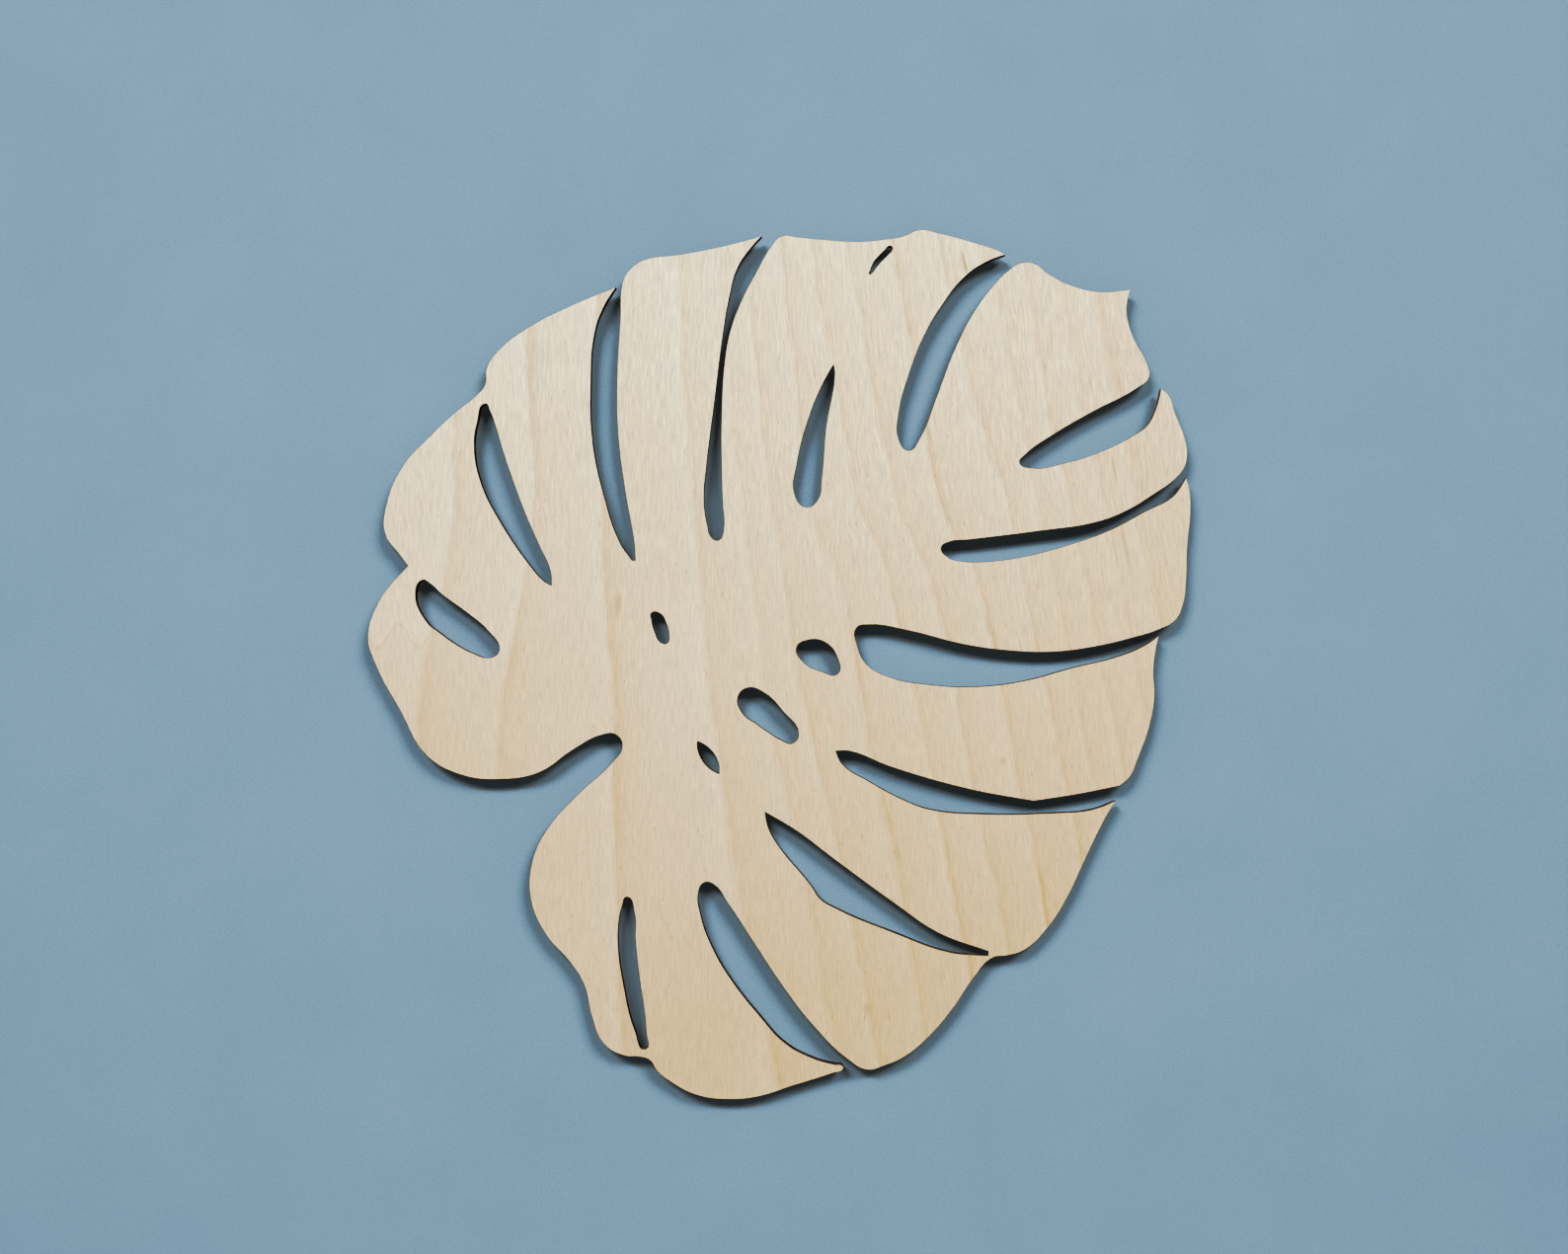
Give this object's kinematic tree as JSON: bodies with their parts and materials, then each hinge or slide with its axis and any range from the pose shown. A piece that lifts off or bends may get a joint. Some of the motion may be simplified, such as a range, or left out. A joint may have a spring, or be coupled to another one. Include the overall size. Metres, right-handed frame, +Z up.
{
  "type": "plywood leaf wall panel",
  "caption": "Flat plywood wall panel cut to the outline of a split monstera leaf, with slots and ovals cut through it and foam pads that hold it off the wall.",
  "frame": {"origin": "middle of the middle foam pad's back face, on the wall", "axes": "+Z up as the panel hangs, +Y into the wall, +X to the right as seen from the front"},
  "size_m": [0.3781, 0.0073, 0.3995],
  "materials": {
    "plywood": "bare sanded birch veneer, satin, with laser-charred edges",
    "foam": "matt closed-cell foam"
  },
  "bodies": {
    "root": {"leaf_panel": "plywood", "foam_pad_middle": "foam", "foam_pad_left": "foam", "foam_pad_upper_left": "foam", "foam_pad_top": "foam", "foam_pad_upper_right": "foam", "foam_pad_right": "foam", "foam_pad_lower_right": "foam", "foam_pad_bottom": "foam"}
  },
  "joints": []
}
